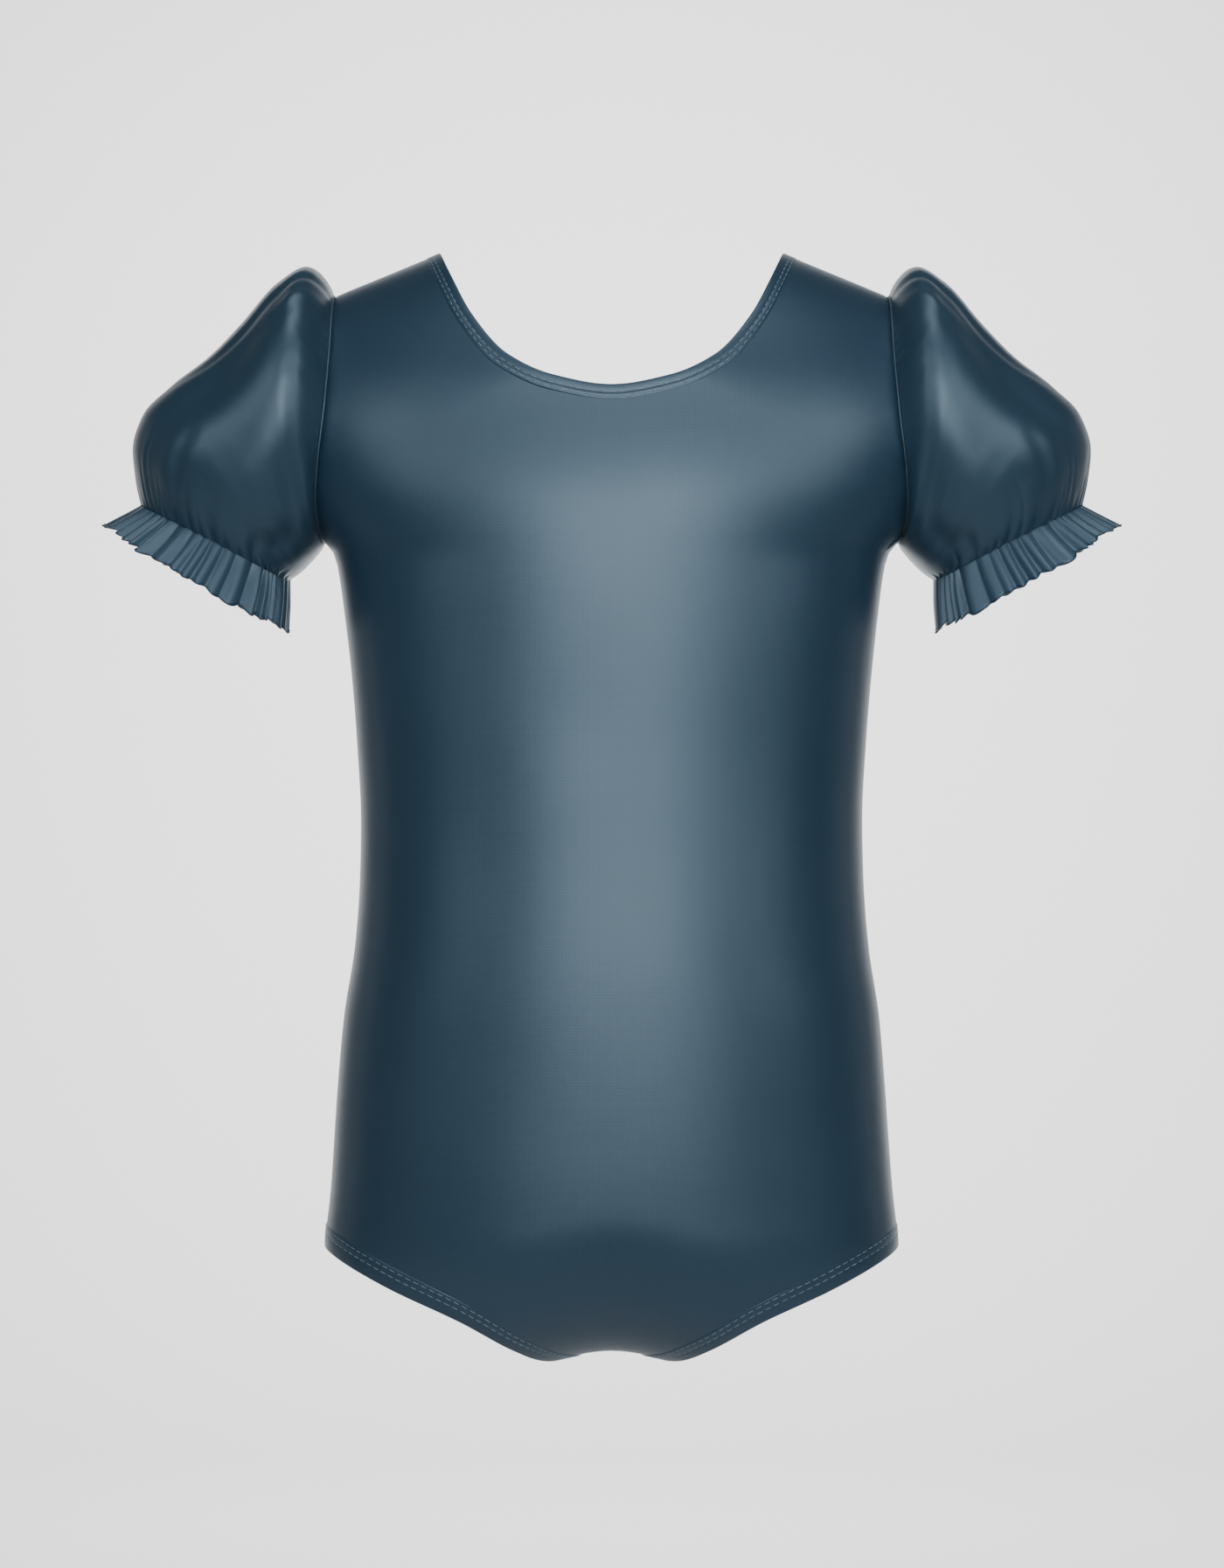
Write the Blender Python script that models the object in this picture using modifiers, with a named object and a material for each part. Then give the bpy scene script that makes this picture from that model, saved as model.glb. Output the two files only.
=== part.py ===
"""Child's puff sleeve leotard, in the shape it takes when worn, with no wearer.

Metres, +Z up, +X towards the wearer's left and -Y to the front. The origin lies
midway between the shoulders, level with the top of the two shoulder seams: the
wearer's shoulders hold the garment up there. Tables are in millimetres, and
give the cloth's outer face.
"""

import math
from collections import namedtuple

import bmesh
import bpy
import numpy as np

MM = 0.001

# Cloth
WALL = 1.2 * MM  # body and sleeve cloth
RUFFLE_WALL = 1.0 * MM
SEAM_GAP = 0.35 * MM  # between two pieces that are sewn together
EDGE_STAND = 0.35 * MM  # of the front and back from the plane of the side seams

# Neck, shoulders and armholes
NECK_HALF = 72.7 * MM
SHOULDER_DROP = 18.1 * MM
SHOULDER_TIP = 117.1 * MM
SHOULDER_SLOPE = SHOULDER_DROP / (SHOULDER_TIP - NECK_HALF)
SHOULDER_ROUND = 74 * MM  # how far below its ridge the shoulder is still rounding
UNDERARM = -122.0 * MM
BACK_SCOOP = 1.10  # the back neck is cut this much deeper than the front

# Crotch
CROTCH_HALF = 21.5 * MM
CROTCH_Z = -467.3 * MM  # the lowest points, at the crotch's edges
CROTCH_MIDDLE = -463.8 * MM
CROTCH_ARCH = 7.4 * MM  # the form under the crotch sinks this far from its middle out
ARCH_HALF = 46 * MM
CROTCH_ROUND = 62 * MM  # how far above the crotch the cloth is still turning under

OVAL_POWER = 2.3  # a body section is a little squarer than an ellipse
PUFF_POWER = 2.15

# Gathers
CUFF_GATHERS = 40
FOLD_SIGMA = 8.0  # degrees round the sleeve

# How finely the surfaces are divided
CROTCH_SPANS = 2
NECK_SPANS = 7  # from the crotch's edge out to the neck point
SHOULDER_SPANS = 5
UPPER_SPANS = 10  # from the underarm up to the neckline or shoulder
DENSE = 240  # points along a column before it is spaced out

# Rows from the crotch or leg line up to the underarm, closest where the cloth turns under
LOWER_ROWS = (0, 0.03, 0.06, 0.093, 0.128, 0.165, 0.205, 0.25, 0.33, 0.47, 0.65, 0.84, 0.965, 1)

WidthRow = namedtuple("WidthRow", "z half_width")
WIDTHS = [
    WidthRow(-480.0, 121.4),
    WidthRow(-418.8, 121.0),
    WidthRow(-395.5, 118.8),
    WidthRow(-351.0, 115.6),
    WidthRow(-321.5, 113.0),
    WidthRow(-291.9, 108.6),
    WidthRow(-262.3, 106.4),
    WidthRow(-240.0, 105.9),
    WidthRow(-203.0, 107.9),
    WidthRow(-173.5, 110.4),
    WidthRow(-151.3, 112.9),
    WidthRow(-136.5, 114.9),
    WidthRow(-127.7, 116.9),
    WidthRow(-122.0, 121.2),
    WidthRow(-111.0, 129.0),
    WidthRow(-100.0, 135.0),
    WidthRow(-80.0, 143.0),
    WidthRow(-60.0, 149.0),
    WidthRow(-20.0, 156.0),
    WidthRow(20.0, 160.0),
]

DepthRow = namedtuple("DepthRow", "z front back")
DEPTHS = [
    DepthRow(-480.0, 69.0, 82.0),
    DepthRow(-420.0, 71.0, 86.0),
    DepthRow(-380.0, 73.0, 84.0),
    DepthRow(-320.0, 74.5, 75.0),
    DepthRow(-245.0, 72.0, 63.0),
    DepthRow(-200.0, 71.0, 65.0),
    DepthRow(-150.0, 71.5, 71.0),
    DepthRow(-110.0, 70.5, 74.0),
    DepthRow(-60.0, 63.0, 72.0),
    DepthRow(-20.0, 56.0, 66.0),
    DepthRow(20.0, 50.0, 60.0),
]

ArmholeRow = namedtuple("ArmholeRow", "z x")
ARMHOLE = [
    ArmholeRow(-122.0, 121.2),
    ArmholeRow(-117.7, 122.7),
    ArmholeRow(-108.0, 123.5),
    ArmholeRow(-94.6, 122.5),
    ArmholeRow(-65.7, 119.0),
    ArmholeRow(-36.8, 117.3),
    ArmholeRow(20.0, 117.0),
]

NeckRow = namedtuple("NeckRow", "x z")
NECKLINE = [
    NeckRow(-24.0, -56.6),
    NeckRow(0.0, -60.7),
    NeckRow(24.0, -56.6),
    NeckRow(43.0, -47.5),
    NeckRow(58.0, -30.0),
    NeckRow(67.2, -12.2),
    NeckRow(72.7, 0.0),
]

LegRow = namedtuple("LegRow", "x z")
LEG_LINE = [
    LegRow(21.5, -467.3),
    LegRow(28.5, -465.6),
    LegRow(40.5, -459.2),
    LegRow(62.5, -445.9),
    LegRow(92.0, -432.5),
    LegRow(121.0, -418.8),
]

# A ring of the sleeve as it shows from the front: where it meets the top line
# and the underarm line, how far it stands to the front and back, by what share
# it is narrower towards the underarm, and how far its middle is pushed out from
# the armhole. Along is the share of the sleeve's length, from armhole to cuff.
SleeveRow = namedtuple("SleeveRow", "along top_x top_z under_x under_z depth narrow lead")
SLEEVE = [
    SleeveRow(0.00, 117.4, -18.1, 121.5, -122.0, 41.0, 0.00, 3.0),
    SleeveRow(0.07, 119.6, -11.6, 122.0, -123.8, 47.5, 0.02, 5.0),
    SleeveRow(0.16, 128.6, -5.6, 123.5, -126.0, 51.5, 0.05, 6.0),
    SleeveRow(0.27, 140.4, -12.4, 125.5, -128.5, 54.0, 0.10, 5.0),
    SleeveRow(0.40, 156.0, -30.0, 127.8, -131.0, 55.0, 0.16, 3.5),
    SleeveRow(0.52, 169.6, -43.8, 129.8, -133.1, 54.5, 0.20, 2.0),
    SleeveRow(0.64, 186.0, -56.4, 131.7, -134.8, 53.0, 0.23, 1.0),
    SleeveRow(0.75, 197.8, -68.6, 133.4, -136.1, 49.5, 0.23, 0.0),
    SleeveRow(0.85, 202.2, -83.5, 135.0, -137.1, 44.0, 0.18, 0.0),
    SleeveRow(0.93, 200.8, -96.5, 136.1, -137.8, 38.0, 0.09, 0.0),
    SleeveRow(1.00, 198.5, -106.9, 136.7, -138.4, 32.5, 0.00, 0.0),
]
SLEEVE_RINGS = (0, 0.05, 0.10, 0.16, 0.26, 0.40, 0.56, 0.70, 0.81, 0.91, 1)
ARMHOLE_BLEND = 0.13  # share of the sleeve over which the armhole's shape fades out

# The ruffle below the cuff's elastic, given the same way. Its front and back
# hang lower along the arm by droop.
RuffleRow = namedtuple("RuffleRow", "along top_x top_z under_x under_z depth gather droop")
RUFFLE = [
    RuffleRow(0.0, 198.5, -106.9, 136.7, -138.4, 32.5, 1.1, 0.0),
    RuffleRow(1.0, 213.3, -114.7, 137.5, -158.7, 41.5, 2.5, 2.3),
]
RUFFLE_STEPS = 4  # points to a gather

# How deep the gathers are along the sleeve
GatherRow = namedtuple("GatherRow", "along gather")
SLEEVE_GATHERS = [
    GatherRow(0.00, 0.0),
    GatherRow(0.05, 0.35),
    GatherRow(0.13, 0.25),
    GatherRow(0.24, 0.0),
    GatherRow(0.78, 0.0),
    GatherRow(0.88, 0.35),
    GatherRow(1.00, 1.2),
]

# Soft troughs along the puff. Angle goes round from the sleeve's top line over
# its front; a negative one is on the back.
FoldRow = namedtuple("FoldRow", "angle start end depth")
FOLDS = [
    FoldRow(34.0, 0.05, 0.95, 2.2),
    FoldRow(-36.0, 0.05, 0.90, 2.2),
    FoldRow(76.0, 0.02, 0.34, 1.8),
    FoldRow(102.0, 0.02, 0.30, 1.6),
    FoldRow(-80.0, 0.02, 0.36, 1.8),
    FoldRow(-112.0, 0.02, 0.28, 1.4),
]

Side = namedtuple("Side", "name sign scoop")
FRONT = Side("front", -1, 1.0)
BACK = Side("back", 1, BACK_SCOOP)

SATIN_BLUE = (0.055, 0.105, 0.165, 1.0)


def through(rows, key, value):
    """A smooth function through one column of a table, in metres, that never overshoots its rows."""
    at = np.array([getattr(row, key) for row in rows], float)
    to = np.array([getattr(row, value) for row in rows], float)
    step = np.diff(at)
    slope = np.diff(to) / step
    tangent = np.zeros(len(at))
    same_way = slope[:-1] * slope[1:] > 0
    ahead, behind = 2 * step[1:] + step[:-1], step[1:] + 2 * step[:-1]
    for i in np.flatnonzero(same_way):
        mean = ahead[i] / slope[i] + behind[i] / slope[i + 1]
        tangent[i + 1] = (ahead[i] + behind[i]) / mean
    tangent[0], tangent[-1] = slope[0], slope[-1]

    def value_at(where):
        where = np.clip(np.asarray(where, float), at[0], at[-1])
        i = np.clip(np.searchsorted(at, where) - 1, 0, len(step) - 1)
        t = (where - at[i]) / step[i]
        rise = (3 - 2 * t) * t * t
        out = (t - 2 * t * t + t**3) * step[i] * tangent[i]
        back = (t**3 - t * t) * step[i] * tangent[i + 1]
        return to[i] * (1 - rise) + to[i + 1] * rise + out + back

    return value_at


def in_metres(rows, key, value):
    table = through(rows, key, value)
    return lambda where: table(np.asarray(where) / MM) * MM


half_width = in_metres(WIDTHS, "z", "half_width")
armhole_x = in_metres(ARMHOLE, "z", "x")
neckline = in_metres(NECKLINE, "x", "z")
leg_line = in_metres(LEG_LINE, "x", "z")
centre_depth = {side: in_metres(DEPTHS, "z", side.name) for side in (FRONT, BACK)}


def rounding(share):
    """A quarter ellipse that rises from 0 to 1."""
    left = 1 - np.clip(share, 0, 1)
    return np.sqrt(1 - left * left)


def smooth_step(share):
    share = np.clip(share, 0, 1)
    return share * share * (3 - 2 * share)


def shoulder_height(x):
    return (NECK_HALF - x) * SHOULDER_SLOPE


def crotch_height(x):
    return CROTCH_MIDDLE - CROTCH_ARCH * smooth_step(x / ARCH_HALF)


def top_line(side, x):
    """The neckline, and beyond it the shoulder seam."""
    return np.where(x < NECK_HALF, neckline(x) * side.scoop, shoulder_height(x))


def bottom_line(x):
    """The crotch seam, and beyond it the leg line."""
    return np.where(x < CROTCH_HALF, crotch_height(x), leg_line(x))


def depth_at(side, x, z):
    """How far the cloth stands from the plane of the side seams."""
    share = np.clip(x / half_width(z), 0, 1)
    oval = (1 - share**OVAL_POWER) ** (1 / OVAL_POWER)
    shoulder = rounding((shoulder_height(x) - z) / SHOULDER_ROUND)
    crotch = rounding((z - crotch_height(x)) / CROTCH_ROUND)
    return centre_depth[side](z) * oval * shoulder * crotch


def across(u, z):
    """How far out a column is at height z: u is 0 at the centre and 1 at the side seam or armhole."""
    share = np.clip(armhole_x(z) / half_width(z), 0, 1)
    edge = np.where(z > UNDERARM, np.arcsin(share), math.pi / 2)
    return half_width(z) * np.sin(u * edge)


def crossing(u, line, low, high):
    """The height where column u meets an outline."""
    for _ in range(60):
        middle = (low + high) / 2
        if middle < line(across(u, middle)):
            low = middle
        else:
            high = middle
    return (low + high) / 2


def column_share(x, z):
    """The u of the column that passes x at height z."""
    edge = across(1, z)
    wide = half_width(z)
    return float(np.arcsin(x / wide) / np.arcsin(min(1, edge / wide)))


def spaced(points, distances):
    """Points at these distances along a dense line of points."""
    steps = np.linalg.norm(np.diff(points, axis=0), axis=1)
    along = np.concatenate([[0], np.cumsum(steps)])
    return np.stack([np.interp(distances, along, points[:, k]) for k in range(3)], 1)


def length_of(points):
    return np.linalg.norm(np.diff(points, axis=0), axis=1).sum()


def on_form(side, u, z):
    x = across(u, z)
    y = side.sign * np.maximum(depth_at(side, x, z), EDGE_STAND)
    return np.stack([x, y, z], 1)


def upper_column(side, u, count):
    """Points from the underarm's height up to the neckline or shoulder, closest together at both ends."""
    top = crossing(u, lambda x: top_line(side, x), UNDERARM, 10 * MM)
    t = np.linspace(0, 1, count + 1)
    return on_form(side, u, UNDERARM + (top - UNDERARM) * (1 - np.cos(math.pi * t)) / 2)


def column(side, u):
    """One column of a panel, from the crotch seam or leg line up to the neckline or shoulder seam."""
    bottom = crossing(u, bottom_line, CROTCH_Z - 5 * MM, UNDERARM)
    t = np.linspace(0, 1, DENSE)
    lower = on_form(side, u, bottom + (UNDERARM - bottom) * t * t)
    lower = spaced(lower, np.array(LOWER_ROWS) * length_of(lower))
    edge = upper_column(side, 1, UPPER_SPANS)
    if u == 1:
        return np.concatenate([lower, edge[1:]])
    upper = upper_column(side, u, DENSE)
    steps = np.linalg.norm(np.diff(edge, axis=0), axis=1)
    armhole = np.cumsum(steps) / steps.sum()
    even = np.linspace(0, 1, UPPER_SPANS + 1)[1:]
    corner = column_share(NECK_HALF, 0.0)
    blend = smooth_step((u - corner) / (1 - corner))
    shares = even * (1 - blend) + armhole * blend
    return np.concatenate([lower, spaced(upper, shares * length_of(upper))])


def column_shares():
    """The u of each column: some stand on the crotch's corner and on the neck point, closer together there."""
    crotch = column_share(CROTCH_HALF, CROTCH_Z)
    neck = column_share(NECK_HALF, 0.0)
    even = np.linspace(0, 1, NECK_SPANS + 1)
    closer = even / 2 + (1 - np.cos(math.pi * even)) / 4
    return np.concatenate(
        [
            np.linspace(0, crotch, CROTCH_SPANS + 1)[:-1],
            crotch + (neck - crotch) * closer,
            np.linspace(neck, 1, SHOULDER_SPANS + 1)[1:],
        ]
    )


def mesh_object(name, points, closed, outward):
    """An object from a grid of points: rows run along its first axis. Closed joins the last row to the first."""
    count, across_count = points.shape[:2]
    mesh = bmesh.new()
    verts = [[mesh.verts.new(p) for p in row] for row in points]
    for i in range(count if closed else count - 1):
        here, there = verts[i], verts[(i + 1) % count]
        for j in range(across_count - 1):
            corners = (here[j], there[j], there[j + 1], here[j + 1])
            mesh.faces.new(corners if outward else corners[::-1])
    data = bpy.data.meshes.new(name)
    mesh.to_mesh(data)
    mesh.free()
    data.shade_smooth()
    made = bpy.data.objects.new(name, data)
    return made


def thicken(made, wall):
    """Gives cloth its wall, inwards from its outer face."""
    solidify = made.modifiers.new("cloth", "SOLIDIFY")
    solidify.thickness = wall
    solidify.offset = -1
    solidify.use_even_offset = True


def body_panel(side):
    """The front or back, from crotch to shoulders, as one half and its mirror image."""
    grid = np.array([column(side, u) for u in column_shares()])
    grid[0, :, 0] = 0
    made = mesh_object(side.name, grid, closed=False, outward=side is FRONT)
    mirror = made.modifiers.new("halves", "MIRROR")
    mirror.use_axis = (True, False, False)
    mirror.merge_threshold = 0.0001
    thicken(made, WALL)
    return made


def ring_of(rows, along, angles, power):
    """The points of one ring of a sleeve or ruffle, and the directions in which its gathers rise."""
    at = {k: float(through(rows, "along", k)(along)) * MM for k in rows[0]._fields[1:6]}
    top = np.array([at["top_x"], 0, at["top_z"]])
    under = np.array([at["under_x"], 0, at["under_z"]])
    middle, reach = (top + under) / 2, (top - under) / 2
    cosine, sine = np.cos(angles), np.sin(angles)
    up = np.sign(cosine) * np.abs(cosine) ** (2 / power)
    forward = np.sign(sine) * np.abs(sine) ** (2 / power)
    points = middle + up[:, None] * reach
    points[:, 1] = -forward * at["depth"]
    away = cosine[:, None] * reach / np.linalg.norm(reach) + sine[:, None] * [0, -1, 0]
    return points, away


def armhole_ring(angles):
    """The armhole's edge on both panels, a seam's gap further out."""
    turn = (angles + math.pi) % (2 * math.pi) - math.pi
    at = (1 - np.abs(turn) / math.pi) * UPPER_SPANS
    front, back = (upper_column(side, 1, UPPER_SPANS) for side in (FRONT, BACK))
    rows = np.arange(UPPER_SPANS + 1)
    points = [np.interp(at, rows, front[:, k]) for k in range(3)]
    behind = [np.interp(at, rows, back[:, k]) for k in range(3)]
    ring = np.where(turn > 0, points, behind).T
    return ring + [SEAM_GAP, 0, 0]


def gather_wave(turns):
    """The gathers round the cuff, from -1 to 1, some deeper than others."""
    uneven = 0.72 + 0.18 * np.sin(5 * turns + 1.0) + 0.10 * np.sin(11 * turns + 2.0)
    return uneven * np.cos(CUFF_GATHERS * turns)


def gathered(turns):
    """Angles round the cuff, closer together where its gathers are narrow."""
    return turns + 0.040 * np.sin(3 * turns + 1.0) + 0.022 * np.sin(8 * turns + 2.0)


def fold_depth(angles, along):
    """How far the puff's soft troughs lie below its even face."""
    total = np.zeros(len(angles))
    degrees = np.degrees((angles + math.pi) % (2 * math.pi) - math.pi)
    for fold in FOLDS:
        length = fold.end - fold.start
        run = math.sin(math.pi * min(1, max(0, (along - fold.start) / length)))
        total += fold.depth * MM * run * np.exp(-(((degrees - fold.angle) / FOLD_SIGMA) ** 2))
    return total


def sleeve_grid(turns):
    gathers = through(SLEEVE_GATHERS, "along", "gather")
    narrow = through(SLEEVE, "along", "narrow")
    lead = through(SLEEVE, "along", "lead")
    edge = armhole_ring(turns)
    rings = []
    for along in SLEEVE_RINGS:
        share = smooth_step(along / ARMHOLE_BLEND)
        angles = turns * (1 - share) + gathered(turns) * share
        ring, away = ring_of(SLEEVE, along, angles, PUFF_POWER)
        ring[:, 1] *= 1 - narrow(along) * (1 - np.cos(angles)) / 2
        ring[:, 0] += lead(along) * MM * np.sin(angles) ** 2
        ring = edge * (1 - share) + ring * share
        rise = gather_wave(turns) * gathers(along) * MM - fold_depth(angles, along)
        rings.append(ring + away * rise[:, None])
    return np.array(rings).transpose(1, 0, 2)


def ruffle_grid(turns):
    angles = gathered(turns)
    start = ring_of(RUFFLE, 0, angles, 2.0)[0]
    end = ring_of(RUFFLE, 1, angles, 2.0)[0]
    down = end.mean(axis=0) - start.mean(axis=0)
    down /= np.linalg.norm(down)
    rings = []
    for row in RUFFLE:
        ring, away = ring_of(RUFFLE, row.along, angles, 2.0)
        rise = gather_wave(turns) * row.gather * MM
        lower = SEAM_GAP * (1 - row.along) + row.droop * MM * np.sin(angles) ** 2
        rings.append(ring + away * rise[:, None] + down * lower[:, None])
    return np.array(rings).transpose(1, 0, 2)


def tube(name, grid, wall, left):
    """A closed sleeve or ruffle on the wearer's left, or its mirror image on the right."""
    if not left:
        grid = grid * [-1, 1, 1]
    made = mesh_object(name, grid, closed=True, outward=left)
    thicken(made, wall)
    return made


def full_turn(count):
    return np.arange(count) * 2 * math.pi / count


def satin():
    material = bpy.data.materials.new("satin_knit")
    material.use_nodes = True
    shader = material.node_tree.nodes["Principled BSDF"]
    shader.inputs["Base Color"].default_value = SATIN_BLUE
    shader.inputs["Roughness"].default_value = 0.45
    shader.inputs["Metallic"].default_value = 0.0
    material.diffuse_color = SATIN_BLUE
    return material


def clear_scene():
    for old in list(bpy.data.objects):
        bpy.data.objects.remove(old)


def main():
    clear_scene()
    collection = bpy.data.collections.new("puff_sleeve_leotard")
    bpy.context.scene.collection.children.link(collection)
    pieces = [body_panel(FRONT), body_panel(BACK)]
    sleeve = sleeve_grid(full_turn(2 * CUFF_GATHERS))
    ruffle = ruffle_grid(full_turn(RUFFLE_STEPS * CUFF_GATHERS))
    for side, left in (("left", True), ("right", False)):
        pieces.append(tube(f"sleeve_{side}", sleeve, WALL, left))
        pieces.append(tube(f"ruffle_{side}", ruffle, RUFFLE_WALL, left))
    material = satin()
    for piece in pieces:
        piece.data.materials.append(material)
        collection.objects.link(piece)


main()
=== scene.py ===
"""Looks of a child's puff sleeve leotard in slate blue satin knit, filled out as worn.

Metres, +Z up, +X towards the wearer's left and -Y to the front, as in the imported
frame. Tables are in millimetres unless they say otherwise.
"""

import math
from collections import namedtuple

import bmesh
import bpy
import numpy as np
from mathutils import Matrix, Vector
from mathutils.bvhtree import BVHTree


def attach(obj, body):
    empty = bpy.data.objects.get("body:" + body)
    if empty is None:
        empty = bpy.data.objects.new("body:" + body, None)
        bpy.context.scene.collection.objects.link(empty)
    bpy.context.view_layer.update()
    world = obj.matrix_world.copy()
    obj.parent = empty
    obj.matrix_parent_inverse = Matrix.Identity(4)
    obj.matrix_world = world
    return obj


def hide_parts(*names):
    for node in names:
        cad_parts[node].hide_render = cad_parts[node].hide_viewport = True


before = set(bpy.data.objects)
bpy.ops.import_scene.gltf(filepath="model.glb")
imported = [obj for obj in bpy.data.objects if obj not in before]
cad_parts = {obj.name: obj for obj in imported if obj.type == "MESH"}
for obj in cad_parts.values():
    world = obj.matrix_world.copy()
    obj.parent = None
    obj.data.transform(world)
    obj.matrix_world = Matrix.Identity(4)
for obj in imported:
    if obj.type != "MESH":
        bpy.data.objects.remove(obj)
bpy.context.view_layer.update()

MM = 0.001
SEED = 7

# Cloth
BODY_WALL = 0.8 * MM
SLEEVE_WALL = 0.6 * MM
RUFFLE_WALL = 0.45 * MM
SEAM_GAP = 0.12 * MM
EDGE_STAND = 0.05 * MM
SEAM_GROOVE = 0.30 * MM  # how far the cloth dips into a seam
GROOVE_HALF = 1.1 * MM
SEAM_PUCKER = 0.16 * MM  # height of the panels' puckers beside the armhole seam
PUCKER_REACH = 9 * MM
KNIT_UNEVEN = 0.22 * MM  # slight unevenness of the stretched knit
UNEVEN_SPAN = 90 * MM
CUFF_GATHER = 1.0 * MM  # height of the gathers above the cuff
CAP_PUCKER = 0.34 * MM  # height of the gathers below the armhole seam

# Neck, shoulders and armholes
NECK_HALF = 72.7 * MM
SHOULDER_DROP = 18.1 * MM
SHOULDER_TIP = 117.1 * MM
SHOULDER_SLOPE = SHOULDER_DROP / (SHOULDER_TIP - NECK_HALF)
SHOULDER_ROUND = 74 * MM
UNDERARM = -122.0 * MM
BACK_SCOOP = 1.10

# Crotch
CROTCH_HALF = 21.5 * MM
CROTCH_Z = -467.3 * MM
CROTCH_MIDDLE = -463.8 * MM
CROTCH_ARCH = 7.4 * MM
ARCH_HALF = 46 * MM
CROTCH_ROUND = 62 * MM

OVAL_POWER = 2.3
PUFF_POWER = 2.15
DENSE = 500

# How finely the cloth is divided. The first rows beside an edge lie at set
# distances from it.
NEAR_EDGE = np.array([0, 0.5, 1.2, 2.2, 3.6, 5.4]) * MM
CROTCH_SPANS = 6
NECK_SPANS = 34
SHOULDER_SPANS = 24
LOWER_SPANS = 64
UPPER_SPANS = 44
SLEEVE_TURNS = 480
SLEEVE_SPANS = 96
RUFFLE_SPANS = 16

WidthRow = namedtuple("WidthRow", "z half_width")
WIDTHS = [
    WidthRow(-480.0, 121.4),
    WidthRow(-418.8, 121.0),
    WidthRow(-395.5, 118.8),
    WidthRow(-351.0, 115.6),
    WidthRow(-321.5, 113.0),
    WidthRow(-291.9, 108.6),
    WidthRow(-262.3, 106.4),
    WidthRow(-240.0, 105.9),
    WidthRow(-203.0, 107.9),
    WidthRow(-173.5, 110.4),
    WidthRow(-151.3, 112.9),
    WidthRow(-136.5, 114.9),
    WidthRow(-127.7, 116.9),
    WidthRow(-122.0, 121.2),
    WidthRow(-111.0, 129.0),
    WidthRow(-100.0, 135.0),
    WidthRow(-80.0, 143.0),
    WidthRow(-60.0, 149.0),
    WidthRow(-20.0, 156.0),
    WidthRow(20.0, 160.0),
]

DepthRow = namedtuple("DepthRow", "z front back")
DEPTHS = [
    DepthRow(-480.0, 69.0, 82.0),
    DepthRow(-420.0, 71.0, 86.0),
    DepthRow(-380.0, 73.0, 84.0),
    DepthRow(-320.0, 74.5, 75.0),
    DepthRow(-245.0, 72.0, 63.0),
    DepthRow(-200.0, 71.0, 65.0),
    DepthRow(-150.0, 71.5, 71.0),
    DepthRow(-110.0, 70.5, 74.0),
    DepthRow(-60.0, 63.0, 72.0),
    DepthRow(-20.0, 56.0, 66.0),
    DepthRow(20.0, 50.0, 60.0),
]

ArmholeRow = namedtuple("ArmholeRow", "z x")
ARMHOLE = [
    ArmholeRow(-122.0, 121.2),
    ArmholeRow(-117.7, 122.7),
    ArmholeRow(-108.0, 123.5),
    ArmholeRow(-94.6, 122.5),
    ArmholeRow(-65.7, 119.0),
    ArmholeRow(-36.8, 117.3),
    ArmholeRow(20.0, 117.0),
]

NeckRow = namedtuple("NeckRow", "x z")
NECKLINE = [
    NeckRow(-24.0, -56.6),
    NeckRow(0.0, -60.7),
    NeckRow(24.0, -56.6),
    NeckRow(43.0, -47.5),
    NeckRow(58.0, -30.0),
    NeckRow(67.2, -12.2),
    NeckRow(72.7, 0.0),
]

LegRow = namedtuple("LegRow", "x z")
LEG_LINE = [
    LegRow(21.5, -467.3),
    LegRow(28.5, -465.6),
    LegRow(40.5, -459.2),
    LegRow(62.5, -445.9),
    LegRow(92.0, -432.5),
    LegRow(121.0, -418.8),
]

# Rings of the sleeve, as shares of its length from the armhole to the cuff
SleeveRow = namedtuple("SleeveRow", "along top_x top_z under_x under_z depth narrow lead")
SLEEVE = [
    SleeveRow(0.00, 117.4, -18.1, 121.5, -122.0, 41.0, 0.00, 3.0),
    SleeveRow(0.07, 119.6, -11.6, 122.0, -123.8, 47.5, 0.02, 5.0),
    SleeveRow(0.16, 128.6, -5.6, 123.5, -126.0, 51.5, 0.05, 6.0),
    SleeveRow(0.27, 140.4, -12.4, 125.5, -128.5, 54.0, 0.10, 5.0),
    SleeveRow(0.40, 156.0, -30.0, 127.8, -131.0, 55.0, 0.16, 3.5),
    SleeveRow(0.52, 169.6, -43.8, 129.8, -133.1, 54.5, 0.20, 2.0),
    SleeveRow(0.64, 186.0, -56.4, 131.7, -134.8, 53.0, 0.23, 1.0),
    SleeveRow(0.75, 197.8, -68.6, 133.4, -136.1, 49.5, 0.23, 0.0),
    SleeveRow(0.85, 202.2, -83.5, 135.0, -137.1, 44.0, 0.18, 0.0),
    SleeveRow(0.93, 200.8, -96.5, 136.1, -137.8, 38.0, 0.09, 0.0),
    SleeveRow(1.00, 198.5, -106.9, 136.7, -138.4, 32.5, 0.00, 0.0),
]
ARMHOLE_BLEND = 0.13

RuffleRow = namedtuple("RuffleRow", "along top_x top_z under_x under_z depth gather droop")
RUFFLE = [
    RuffleRow(0.0, 198.5, -106.9, 136.7, -138.4, 32.5, 0.9, 0.0),
    RuffleRow(0.35, 203.3, -109.6, 136.7, -145.4, 35.2, 1.7, 0.5),
    RuffleRow(1.0, 213.3, -114.7, 137.5, -158.7, 41.5, 2.5, 2.3),
]
PLEATS = 40
PLEAT_STEPS = 18
CAP_PUCKERS = 58

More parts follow.
